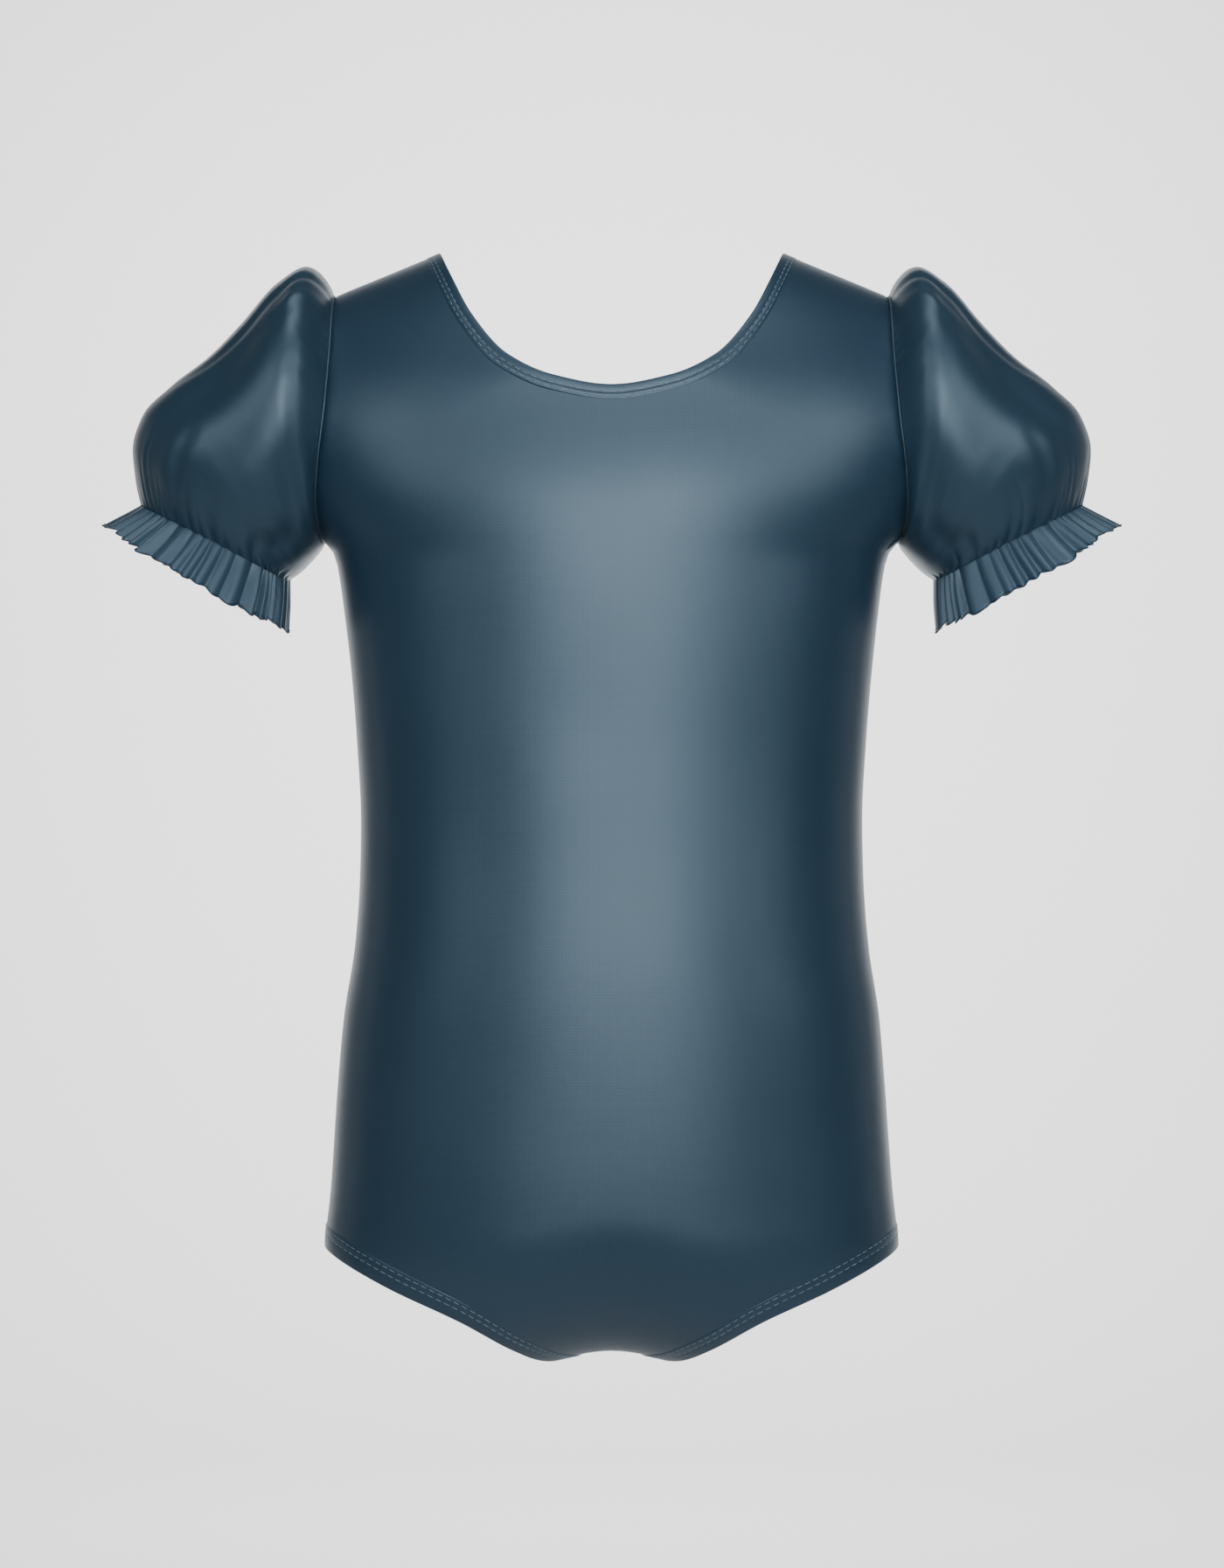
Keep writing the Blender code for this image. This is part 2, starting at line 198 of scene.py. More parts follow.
# Soft troughs on the puff, in degrees from its top line over its front, and
# ridges where depth is negative. A trough turns by slant from its start to its
# end, and bows to the side by bow at its middle.
FoldRow = namedtuple("FoldRow", "angle slant bow start end depth width")
FOLDS = [
    FoldRow(20.0, 2.0, 10.0, 0.01, 0.66, 0.9, 3.6),
    FoldRow(38.0, 3.0, 7.0, 0.05, 0.40, -0.7, 4.5),
    FoldRow(40.0, 10.0, 3.0, 0.20, 1.05, 2.0, 13.0),
    FoldRow(60.0, -4.0, 4.0, 0.00, 0.20, 0.25, 3.5),
    FoldRow(69.0, -5.0, 2.0, 0.00, 0.16, -0.2, 2.6),
    FoldRow(84.0, -6.0, -3.0, 0.00, 0.24, 0.25, 3.5),
    FoldRow(78.0, 30.0, 0.0, 0.00, 0.98, -1.9, 21.0),
    FoldRow(128.0, -8.0, -4.0, 0.00, 0.40, 1.5, 11.0),
    FoldRow(140.0, -10.0, 0.0, 0.30, 1.00, 1.0, 9.0),
    FoldRow(64.0, 9.0, 2.0, 0.62, 1.05, 0.8, 6.0),
    FoldRow(92.0, 5.0, -3.0, 0.74, 1.05, 0.6, 4.5),
    FoldRow(123.0, -4.0, 2.0, 0.68, 1.05, 0.8, 6.0),
    FoldRow(9.0, 2.0, 3.0, 0.62, 1.02, 0.7, 3.6),
    FoldRow(-2.0, -3.0, 1.0, 0.66, 1.02, 0.6, 3.0),
    FoldRow(-19.0, -2.0, -8.0, 0.01, 0.60, 0.9, 3.8),
    FoldRow(-40.0, -9.0, -5.0, 0.18, 1.05, 2.0, 12.0),
    FoldRow(-60.0, 5.0, -3.0, 0.00, 0.22, 0.3, 4.0),
    FoldRow(-87.0, 7.0, 3.0, 0.00, 0.28, 0.3, 4.0),
    FoldRow(-74.0, -34.0, 3.0, 0.00, 0.96, -1.6, 20.0),
    FoldRow(-124.0, 8.0, 4.0, 0.00, 0.44, 1.4, 10.0),
    FoldRow(-72.0, -9.0, 2.0, 0.66, 1.05, 0.8, 6.0),
    FoldRow(-117.0, 6.0, -2.0, 0.64, 1.05, 0.8, 7.0),
]
CAP_FULLNESS = 2.6  # how far the gathered cap springs out beside the armhole seam

# Hems: profile of the turned cloth round its edge. In is the distance from the
# edge into the cloth, and off the height above its outer face.
HemRow = namedtuple("HemRow", "into off")
NECK_ROWS = (3.1, 4.9)
LEG_ROWS = (5.7, 8.5)
HEM_LIFT = 0.34
STITCH_DIP = 0.15
HEM_SPACING = 1.6 * MM

STITCH_LENGTH = 3.0 * MM
STITCH_SPACE = 0.75 * MM
STITCH_RADIUS = 0.18 * MM
STITCH_SIDES = 6
STITCH_PARTS = 6

SEAM_RADIUS = 0.45 * MM
HEM_ROLL = 0.42 * MM  # radius of the ruffle's rolled hem
ROLL_SIDES = 8

Side = namedtuple("Side", "name sign scoop")
FRONT = Side("front", -1, 1.0)
BACK = Side("back", 1, BACK_SCOOP)

# Colours, linear
SATIN_DARK = (0.010, 0.031, 0.058, 1.0)
SATIN_LIGHT = (0.015, 0.040, 0.070, 1.0)
SLEEVE_DARK = (0.012, 0.034, 0.060, 1.0)
SLEEVE_LIGHT = (0.018, 0.044, 0.073, 1.0)
# The ruffle's colours. The armhole seam ridges wear them too, and there their lighter tone is a painted
# highlight along the seam.
RUFFLE_DARK = (0.030, 0.064, 0.100, 1.0)
RUFFLE_LIGHT = (0.044, 0.084, 0.124, 1.0)
GLOSS_TINT = (0.64, 0.84, 1.0, 1.0)
THREAD = (0.17, 0.25, 0.32, 1.0)
PALE = (0.86, 0.86, 0.86, 1.0)

# The camera stands where the photograph's does. PX is one pixel of the
# photograph, at the garment, and NECK_PX the row of the neck points in it.
PX = 0.37 * MM
PHOTO_ROWS = 1794
NECK_PX = 291
FRAME_HEIGHT = PHOTO_ROWS * PX
CAMERA_FAR = 1.9
SENSOR_HEIGHT = 36.0  # in the camera's own millimetres
AIM_Z = -(PHOTO_ROWS / 2 - NECK_PX) * PX


def through(rows, key, value):
    """A smooth function through one column of a table that never overshoots its rows."""
    at = np.array([getattr(row, key) for row in rows], float)
    to = np.array([getattr(row, value) for row in rows], float)
    step = np.diff(at)
    slope = np.diff(to) / step
    tangent = np.zeros(len(at))
    ahead, behind = 2 * step[1:] + step[:-1], step[1:] + 2 * step[:-1]
    for i in np.flatnonzero(slope[:-1] * slope[1:] > 0):
        mean = ahead[i] / slope[i] + behind[i] / slope[i + 1]
        tangent[i + 1] = (ahead[i] + behind[i]) / mean
    tangent[0], tangent[-1] = slope[0], slope[-1]

    def value_at(where):
        where = np.clip(np.asarray(where, float), at[0], at[-1])
        i = np.clip(np.searchsorted(at, where) - 1, 0, len(step) - 1)
        t = (where - at[i]) / step[i]
        rise = (3 - 2 * t) * t * t
        out = (t - 2 * t * t + t**3) * step[i] * tangent[i]
        back = (t**3 - t * t) * step[i] * tangent[i + 1]
        return to[i] * (1 - rise) + to[i + 1] * rise + out + back

    return value_at


def in_metres(rows, key, value):
    table = through(rows, key, value)
    return lambda where: table(np.asarray(where) / MM) * MM


half_width = in_metres(WIDTHS, "z", "half_width")
armhole_x = in_metres(ARMHOLE, "z", "x")
neckline = in_metres(NECKLINE, "x", "z")
leg_line = in_metres(LEG_LINE, "x", "z")
centre_depth = {side: in_metres(DEPTHS, "z", side.name) for side in (FRONT, BACK)}


def rounding(share):
    left = 1 - np.clip(share, 0, 1)
    return np.sqrt(1 - left * left)


def smooth_step(share):
    share = np.clip(share, 0, 1)
    return share * share * (3 - 2 * share)


def shoulder_height(x):
    return (NECK_HALF - x) * SHOULDER_SLOPE


def crotch_height(x):
    return CROTCH_MIDDLE - CROTCH_ARCH * smooth_step(x / ARCH_HALF)


def top_line(side, x):
    return np.where(x < NECK_HALF, neckline(x) * side.scoop, shoulder_height(x))


def bottom_line(x):
    return np.where(x < CROTCH_HALF, crotch_height(x), leg_line(x))


def depth_at(side, x, z):
    """How far the cloth stands from the plane of the side seams."""
    share = np.clip(x / half_width(z), 0, 1)
    oval = (1 - share**OVAL_POWER) ** (1 / OVAL_POWER)
    shoulder = rounding((shoulder_height(x) - z) / SHOULDER_ROUND)
    crotch = rounding((z - crotch_height(x)) / CROTCH_ROUND)
    return centre_depth[side](z) * oval * shoulder * crotch


def across(u, z):
    """How far out a column is at height z: u is 0 at the centre and 1 at the side seam or armhole."""
    share = np.clip(armhole_x(z) / half_width(z), 0, 1)
    edge = np.where(z > UNDERARM, np.arcsin(share), math.pi / 2)
    return half_width(z) * np.sin(u * edge)


def crossing(u, line, low, high):
    """The height where column u meets an outline."""
    for _ in range(40):
        middle = (low + high) / 2
        if middle < line(across(u, middle)):
            low = middle
        else:
            high = middle
    return (low + high) / 2


def column_share(x, z):
    edge = across(1, z)
    wide = half_width(z)
    return float(np.arcsin(x / wide) / np.arcsin(min(1, edge / wide)))


def run_of(points):
    """Distances along a line of points."""
    steps = np.linalg.norm(np.diff(points, axis=0), axis=1)
    return np.concatenate([[0], np.cumsum(steps)])


def spaced(points, distances):
    along = run_of(points)
    return np.stack([np.interp(distances, along, points[:, k]) for k in range(3)], 1)


def on_form(side, u, z, stand=0.0):
    x = across(u, z)
    y = side.sign * np.maximum(depth_at(side, x, z), stand)
    return np.stack([x, y, z], 1)


def close_to_ends(length, count):
    """Distances along a column, closer together near both of its ends."""
    middle = np.linspace(NEAR_EDGE[-1], length - NEAR_EDGE[-1], count + 1)
    return np.concatenate([NEAR_EDGE[:-1], middle, length - NEAR_EDGE[-2::-1]])


def upper_column(side, u, count, stand=0.0):
    top = crossing(u, lambda x: top_line(side, x), UNDERARM, 10 * MM)
    t = np.linspace(0, 1, count + 1)
    z = UNDERARM + (top - UNDERARM) * (1 - np.cos(math.pi * t)) / 2
    return on_form(side, u, z, stand)


def column(side, u):
    """One column of a panel, from the crotch seam or leg line up to the neckline or shoulder seam."""
    bottom = crossing(u, bottom_line, CROTCH_Z - 5 * MM, UNDERARM)
    t = np.linspace(0, 1, DENSE)
    lower = on_form(side, u, bottom + (UNDERARM - bottom) * t * t, EDGE_STAND)
    upper = upper_column(side, u, DENSE, EDGE_STAND)
    rows = closest_to_start(run_of(lower)[-1], LOWER_SPANS)
    high = run_of(upper)[-1]
    top = close_to_ends(high, UPPER_SPANS)
    return np.concatenate([spaced(lower, rows), spaced(upper, top[1:])])


def closest_to_start(length, count):
    """Distances along a column, closest together at its start."""
    t = np.linspace(0, 1, count + 1)[1:]
    return np.concatenate([NEAR_EDGE, NEAR_EDGE[-1] + (length - NEAR_EDGE[-1]) * t**1.25])


def column_shares():
    crotch = column_share(CROTCH_HALF, CROTCH_Z)
    neck = column_share(NECK_HALF, 0.0)
    even = np.linspace(0, 1, NECK_SPANS + 1)
    closer = even / 3 + (1 - np.cos(math.pi * even)) / 3
    edge = 1 - np.array([0.030, 0.018, 0.010, 0.005, 0.002, 0.0])
    return np.concatenate(
        [
            np.linspace(0, crotch, CROTCH_SPANS + 1)[:-1],
            crotch + (neck - crotch) * closer,
            np.linspace(neck, edge[0], SHOULDER_SPANS + 1)[1:-1],
            edge,
        ]
    )


def panel_grid(side):
    """The whole panel's grid of points, from the wearer's right edge to the left one."""
    half = np.array([column(side, u) for u in column_shares()])
    half[0, :, 0] = 0
    return np.concatenate([half[:0:-1] * [-1, 1, 1], half])


def grid_normals(points, outward):
    over, up = np.gradient(points, axis=0), np.gradient(points, axis=1)
    normal = np.cross(over, up) * outward
    return normal / np.maximum(np.linalg.norm(normal, axis=2, keepdims=True), 1e-12)


def noise_at(points, scale, seed):
    """Smooth unevenness from -1 to 1, from a few waves in set directions."""
    draw = np.random.default_rng(seed)
    total = np.zeros(points.shape[:-1])
    for _ in range(7):
        way = draw.normal(size=3)
        way /= np.linalg.norm(way)
        wave = scale * draw.uniform(0.6, 1.6)
        total += np.sin(points @ way * (2 * math.pi / wave) + draw.uniform(0, 2 * math.pi))
    return total / 4


def panel_relief(side, points):
    """Seam grooves, and the slight unevenness of stretched knit."""
    groove = np.exp(-((points[..., 1] / GROOVE_HALF) ** 2))
    runs = np.linalg.norm(np.diff(points, axis=0), axis=2)
    from_right = np.concatenate([np.zeros((1, runs.shape[1])), np.cumsum(runs, 0)])
    to_edge = np.minimum(from_right, from_right[-1] - from_right)
    at_armhole = smooth_step((points[..., 2] - UNDERARM) / (6 * MM))
    groove = np.maximum(groove, at_armhole * np.exp(-((to_edge / GROOVE_HALF) ** 2)))
    pucker = np.exp(-to_edge / PUCKER_REACH) * at_armhole
    wave = np.sin(points[..., 2] / (2.9 * MM) + 2 * noise_at(points, 40 * MM, SEED + 1))
    height = -SEAM_GROOVE * groove + SEAM_PUCKER * pucker * wave
    height += KNIT_UNEVEN * noise_at(points, UNEVEN_SPAN, SEED + 2 + side.sign)
    return height


def mesh_from(name, verts, faces):
    data = bpy.data.meshes.new(name)
    data.from_pydata([tuple(v) for v in verts], [], faces)
    data.validate()
    data.shade_smooth()
    made = bpy.data.objects.new(name, data)
    bpy.context.scene.collection.objects.link(made)
    return made


def grid_faces(count, size, wrap, wrap_size, outward):
    """Four-sided faces of a grid of count rows of points: each wrap closes one direction."""
    i, j = np.meshgrid(
        np.arange(count if wrap else count - 1),
        np.arange(size if wrap_size else size - 1),
        indexing="ij",
    )
    here, there = i * size, (i + 1) % count * size
    step = (j + 1) % size
    faces = np.stack([here + j, there + j, there + step, here + step], -1).reshape(-1, 4)
    return (faces if outward else faces[:, ::-1]).tolist()


def grid_object(name, points, wrap=False, wrap_size=False, outward=True):
    faces = grid_faces(points.shape[0], points.shape[1], wrap, wrap_size, outward)
    return mesh_from(name, points.reshape(-1, 3), faces)


def thicken(made, wall, even=True):
    solidify = made.modifiers.new("cloth", "SOLIDIFY")
    solidify.thickness = wall
    solidify.offset = -1
    solidify.use_even_offset = even
    return made


def finish_piece(made, material, nodes=()):
    made.data.materials.append(material)
    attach(made, "root")
    if nodes:
        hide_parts(*nodes)
    return made


def ring_of(rows, along, angles, power):
    """The points of one ring of a sleeve or ruffle, and the directions in which its gathers rise."""
    at = {k: float(through(rows, "along", k)(along)) * MM for k in rows[0]._fields[1:6]}
    top = np.array([at["top_x"], 0, at["top_z"]])
    under = np.array([at["under_x"], 0, at["under_z"]])
    middle, reach = (top + under) / 2, (top - under) / 2
    cosine, sine = np.cos(angles), np.sin(angles)
    up = np.sign(cosine) * np.abs(cosine) ** (2 / power)
    forward = np.sign(sine) * np.abs(sine) ** (2 / power)
    points = middle + up[:, None] * reach
    points[:, 1] = -forward * at["depth"]
    away = cosine[:, None] * reach / np.linalg.norm(reach) + sine[:, None] * [0, -1, 0]
    return points, away


def signed_turn(angles):
    return (angles + math.pi) % (2 * math.pi) - math.pi


def armhole_ring(angles, gap):
    """The armhole's edge on both panels, a gap further out."""
    turn = signed_turn(angles)
    at = (1 - np.abs(turn) / math.pi) * DENSE
    front, back = (upper_column(side, 1, DENSE) for side in (FRONT, BACK))
    rows = np.arange(DENSE + 1)
    points = [np.interp(at, rows, front[:, k]) for k in range(3)]
    behind = [np.interp(at, rows, back[:, k]) for k in range(3)]
    return np.where(turn > 0, points, behind).T + [gap, 0, 0]


def gathered(turns):
    """Angles round the cuff, closer together where its gathers are narrow."""
    return turns + 0.040 * np.sin(3 * turns + 1.0) + 0.022 * np.sin(8 * turns + 2.0)


def pleat_wave(turns, lag):
    """The gathers round the cuff, from -1 to 1: rounded crests and tighter valleys of uneven depth."""
    uneven = 0.62 + 0.24 * np.sin(5 * turns + 1.0 + lag) + 0.16 * np.sin(11 * turns + 2.0)
    phase = PLEATS * turns + 1.5 * np.sin(7 * turns + lag) + 0.7 * np.sin(13 * turns)
    crest = ((1 + np.cos(phase)) / 2) ** 0.5
    return uneven * (2 * crest - 1.27)


def fold_depth(angles, along, lean):
    degrees = np.degrees(signed_turn(angles))
    total = np.zeros(len(angles))
    for number, fold in enumerate(FOLDS):
        share = (along - fold.start) / (fold.end - fold.start)
        if not 0 < share < 1:
            continue
        run = math.sin(math.pi * share**0.75)
        at = fold.angle + fold.slant * share + fold.bow * math.sin(math.pi * share)
        at += lean * math.sin(3.0 * number + 5 * along)
        off = np.degrees(signed_turn(np.radians(degrees - at)))
        trough = np.exp(-((off / fold.width) ** 2))
        rim = 0.2 * np.exp(-(((np.abs(off) - 1.8 * fold.width) / fold.width) ** 2))
        total += fold.depth * MM * run * (trough - rim)
    return total


def sleeve_grid(lean):
    """The puff's fine grid. Lean makes the folds of one sleeve differ from the other's."""
    turns = np.arange(SLEEVE_TURNS) * 2 * math.pi / SLEEVE_TURNS
    narrow = through(SLEEVE, "along", "narrow")
    lead = through(SLEEVE, "along", "lead")
    edge = armhole_ring(turns, SEAM_GAP)
    t = np.linspace(0, 1, SLEEVE_SPANS + 1)
    alongs = t - 0.06 * np.sin(2 * math.pi * t)
    reach = 0.20 + 0.10 * np.sin(9 * turns + lean) + 0.07 * np.sin(17 * turns + 2 * lean)
    cap = 0.050 + 0.022 * np.sin(7 * turns + lean) + 0.012 * np.sin(19 * turns)
    pucker = np.cos(CAP_PUCKERS * turns + 1.2 * np.sin(5 * turns + lean))
    pucker *= 0.5 + 0.5 * np.cos(turns) ** 2
    rings = []
    for along in alongs:
        share = smooth_step(along / ARMHOLE_BLEND)
        angles = turns * (1 - share) + gathered(turns) * share
        ring, away = ring_of(SLEEVE, along, angles, PUFF_POWER)
        ring[:, 1] *= 1 - narrow(along) * (1 - np.cos(angles)) / 2
        ring[:, 0] += lead(along) * MM * np.sin(angles) ** 2
        ring = edge * (1 - share) + ring * share
        cuff = smooth_step((along - 1 + reach) / reach) ** 1.6
        rise = CUFF_GATHER * cuff * pleat_wave(turns, lean)
        rise += CAP_PUCKER * pucker * np.exp(-((along / cap) ** 2)) * smooth_step(along / 0.012)
        full = smooth_step(along / 0.03) * (1 - smooth_step(along / 0.45))
        rise += CAP_FULLNESS * MM * full * np.sin(turns) ** 2
        rise -= fold_depth(angles, along, lean)
        rise -= SEAM_GROOVE * math.exp(-((along / 0.012) ** 2))
        rings.append(ring + away * rise[:, None])
    return np.array(rings).transpose(1, 0, 2)


def ruffle_grid(lean):
    count = PLEATS * PLEAT_STEPS
    turns = np.arange(count) * 2 * math.pi / count
    angles = gathered(turns)
    start = ring_of(RUFFLE, 0, angles, 2.0)[0]
    end = ring_of(RUFFLE, 1, angles, 2.0)[0]
    down = end.mean(axis=0) - start.mean(axis=0)
    down /= np.linalg.norm(down)
    gather = through(RUFFLE, "along", "gather")
    droop = through(RUFFLE, "along", "droop")
    uneven = 0.6 * np.sin(6 * turns + lean) + 0.5 * np.sin(15 * turns + 2 * lean)
    wave = pleat_wave(turns, lean)
    swing = np.gradient(wave) * PLEAT_STEPS / (2 * math.pi)
    rings = []
    for along in np.linspace(0, 1, RUFFLE_SPANS + 1):
        ring, away = ring_of(RUFFLE, along, angles, 2.0)
        side = np.cross(away, down)
        rise = wave * gather(along) * MM
        lower = droop(along) * MM * np.sin(angles) ** 2
        lower = lower + along**2 * MM * (0.9 * uneven + 0.8 * wave)
        lower = lower - 0.8 * MM * (1 - along) ** 4
        lean_over = -0.55 * MM * along * swing
        rings.append(
            ring + away * rise[:, None] + down * lower[:, None] + side * lean_over[:, None]
        )
    return np.array(rings).transpose(1, 0, 2)


def neck_loop():
    t = np.linspace(-math.pi / 2, math.pi / 2, DENSE)
    x = NECK_HALF * np.sin(t)
    halves = []
    for side, way in ((FRONT, 1), (BACK, -1)):
        z = neckline(np.abs(x)) * side.scoop
        y = side.sign * depth_at(side, np.abs(x), z)
        halves.append(np.stack([x * way, y, z], 1)[:-1])
    return np.concatenate(halves)


def leg_loop():
    """The left leg opening's edge."""
    hip = 121.0 * MM
    t = np.linspace(-math.pi / 2, math.pi / 2, DENSE)
    x = (CROTCH_HALF + hip) / 2 + (hip - CROTCH_HALF) / 2 * np.sin(t)
    z = leg_line(x)
    front = np.stack([x, -depth_at(FRONT, x, z), z], 1)
    back = np.stack([x, depth_at(BACK, x, z), z], 1)[::-1]
    return np.concatenate([front[:-1], back[:-1]])


def even_loop(points, spacing):
    closed = np.concatenate([points, points[:1]])
    length = run_of(closed)[-1]
    count = int(length / spacing)
    return spaced(closed, np.arange(count) * length / count)


def smoothed(values, passes):
    for _ in range(passes):
        values = (np.roll(values, 1, 0) + 2 * values + np.roll(values, -1, 0)) / 4
    return values


def unit(vectors):
    return vectors / np.maximum(np.linalg.norm(vectors, axis=1, keepdims=True), 1e-12)


def nearest(tree, points):
    found = [tree.find_nearest(Vector(p)) for p in points]
    return np.array([f[0] for f in found]), np.array([f[1] for f in found])


class Edge:
    """An edge of the cloth with directions along it, out of the cloth's face and into the cloth."""

    def __init__(self, loop, tree):
        self.points = even_loop(loop, HEM_SPACING)
        self.tree = tree
        along = unit(np.roll(self.points, -1, 0) - np.roll(self.points, 1, 0))
        normal = nearest(tree, self.points)[1]
        for _ in range(2):
            into = unit(np.cross(normal, along))
            trial = [nearest(tree, self.points + into * s * 4 * MM)[0] for s in (1, -1)]
            miss = [
                np.linalg.norm(self.points + into * s * 4 * MM - t, axis=1).mean()
                for s, t in zip((1, -1), trial)
            ]
            into *= 1 if miss[0] < miss[1] else -1
            inside, normal = nearest(tree, self.points + into * 2.5 * MM)
        self.normal = unit(smoothed(normal, 6))
        into = inside - self.points
        self.into = unit(smoothed(unit(into), 4))

    def at(self, into, off):
        """Points this far in from the edge and this far above the cloth's face, in millimetres."""
        if into <= 0:
            return self.points + self.into * into * MM + self.normal * off * MM
        found, normal = nearest(self.tree, self.points + self.into * into * MM)
        return found + unit(smoothed(normal, 6)) * off * MM


def hem_profile(rows, wall):
    """A turned hem's outline, with a dip at each row of stitches.

    It runs over the cloth's face, round the edge and back inside.
    """
    last = rows[-1] + 1.5
    outline = [HemRow(last, -0.12), HemRow(last - 0.5, 0.10)]
    inner = sorted(rows, reverse=True)
    for number, row in enumerate(inner):
        outline.append(HemRow(row + 0.45, HEM_LIFT * 0.75))
        outline.append(HemRow(row, HEM_LIFT - STITCH_DIP))
        outline.append(HemRow(row - 0.45, HEM_LIFT * 0.9))
        if number + 1 < len(inner):
            outline.append(HemRow((row + inner[number + 1]) / 2, HEM_LIFT))
    outline += [
        HemRow(rows[0] / 2, HEM_LIFT),
        HemRow(0.7, HEM_LIFT),
        HemRow(0.15, HEM_LIFT * 0.85),
        HemRow(-0.25, 0.05),
        HemRow(-0.38, -0.45),
        HemRow(-0.25, -0.95),
        HemRow(0.2, -wall - 0.38),
        HemRow(1.0, -wall - 0.42),
        HemRow(rows[-1], -wall - 0.40),
        HemRow(last - 0.2, -wall - 0.36),
        HemRow(last, -wall + 0.1),
    ]
    return outline


def hem_grid(edge, rows):
    profile = hem_profile(rows, BODY_WALL / MM)
    return np.array([edge.at(row.into, row.off) for row in profile]).transpose(1, 0, 2)


def stitches(name, paths, normals):
    """Short raised threads along closed paths, each sinking into the cloth at its ends."""
    draw = np.random.default_rng(SEED)
    verts, faces = [], []
    for path, normal in zip(paths, normals):
        closed = np.concatenate([path, path[:1]])
        lifts = np.concatenate([normal, normal[:1]])
        along = run_of(closed)
        count = int(along[-1] / (STITCH_LENGTH + STITCH_SPACE))
        pitch = along[-1] / count
        for k in range(count):
            begin = k * pitch + draw.uniform(-0.08, 0.08) * MM
            t = np.linspace(0, 1, STITCH_PARTS)
            at = begin + t * (pitch - STITCH_SPACE)
            centre = np.stack([np.interp(at, along, closed[:, c]) for c in range(3)], 1)
            up = np.stack([np.interp(at, along, lifts[:, c]) for c in range(3)], 1)
            ahead = unit(np.gradient(centre, axis=0))
            side = unit(np.cross(up, ahead))
            bow = np.sin(math.pi * t) ** 0.5
            centre += up * ((bow * 0.28 - 0.15) * MM)[:, None]
            thick = STITCH_RADIUS * (0.55 + 0.45 * bow)
            first = len(verts)
            for c, u, s, r in zip(centre, up, side, thick):
                for m in range(STITCH_SIDES):
                    a = 2 * math.pi * m / STITCH_SIDES
                    verts.append(c + (s * math.cos(a) + u * math.sin(a)) * r)
            for i in range(STITCH_PARTS - 1):
                for m in range(STITCH_SIDES):
                    n = (m + 1) % STITCH_SIDES
                    here, there = first + i * STITCH_SIDES, first + (i + 1) * STITCH_SIDES
                    faces.append((here + m, here + n, there + n, there + m))
            ends = list(range(first, first + STITCH_SIDES))
            faces.append(tuple(ends[::-1]))
            final = first + (STITCH_PARTS - 1) * STITCH_SIDES
            faces.append(tuple(range(final, final + STITCH_SIDES)))
    return mesh_from(name, verts, faces)


def seam_grid(loop, lift, radius=SEAM_RADIUS):
    """A thin rounded roll along a closed line of points; lift gives its outward directions."""
    ahead = unit(np.roll(loop, -1, 0) - np.roll(loop, 1, 0))
    side = unit(np.cross(ahead, lift))
    rings = []
    for m in range(ROLL_SIDES):
        a = 2 * math.pi * m / ROLL_SIDES
        rings.append(loop + (lift * math.sin(a) + side * math.cos(a)) * radius)
    return np.array(rings).transpose(1, 0, 2)


def mirrored(points):
    return points * [-1, 1, 1]


def node_of(tree, kind, place, **inputs):
    node = tree.nodes.new(kind)
    node.location = place
    for key, value in inputs.items():
        node.inputs[key.replace("_", " ")].default_value = value
    return node


def cloth(name, dark, light, roughness, knit):
    """Satin knit: soft gloss, slight colour drift, and fine columns and rows of loops knit metres apart."""
    material = bpy.data.materials.new(name)
    material.use_nodes = True
    tree = material.node_tree
    link = tree.links.new
    shader = tree.nodes["Principled BSDF"]
    where = node_of(tree, "ShaderNodeTexCoord", (-1100, 0))
    drift = node_of(tree, "ShaderNodeTexNoise", (-900, 200), Scale=9.0, Detail=3.0)
    link(where.outputs["Object"], drift.inputs["Vector"])
    colour = node_of(tree, "ShaderNodeMix", (-500, 250))
    colour.data_type = "RGBA"
    colour.inputs["A"].default_value = dark
    colour.inputs["B"].default_value = light
    link(drift.outputs["Fac"], colour.inputs["Factor"])
    link(colour.outputs["Result"], shader.inputs["Base Color"])
    gloss = node_of(tree, "ShaderNodeMapRange", (-500, 0))
    gloss.inputs["From Min"].default_value = 0.3
    gloss.inputs["From Max"].default_value = 0.7
    gloss.inputs["To Min"].default_value = roughness - 0.03
    gloss.inputs["To Max"].default_value = roughness + 0.03
    link(drift.outputs["Fac"], gloss.inputs["Value"])
    link(gloss.outputs["Result"], shader.inputs["Roughness"])
    loops = []
    for number, way in enumerate(("X", "Z")):
        wave = node_of(tree, "ShaderNodeTexWave", (-900, -200 - 250 * number))
        wave.bands_direction = way
        wave.inputs["Scale"].default_value = 0.314 / knit
        wave.inputs["Distortion"].default_value = 0.6
        wave.inputs["Detail"].default_value = 0.0
        link(where.outputs["Object"], wave.inputs["Vector"])
        loops.append(wave)
    both = node_of(tree, "ShaderNodeMath", (-650, -300))
    both.operation = "ADD"
    link(loops[0].outputs["Fac"], both.inputs[0])
    link(loops[1].outputs["Fac"], both.inputs[1])
    bump = node_of(tree, "ShaderNodeBump", (-400, -300), Strength=0.25, Distance=0.05 * MM)
    link(both.outputs["Value"], bump.inputs["Height"])
    link(bump.outputs["Normal"], shader.inputs["Normal"])
    shader.inputs["Specular IOR Level"].default_value = 0.95
    shader.inputs["Specular Tint"].default_value = GLOSS_TINT
    shader.inputs["Sheen Weight"].default_value = 0.05
    shader.inputs["Sheen Roughness"].default_value = 0.35
    shader.inputs["Sheen Tint"].default_value = (0.62, 0.74, 0.82, 1.0)
    return material


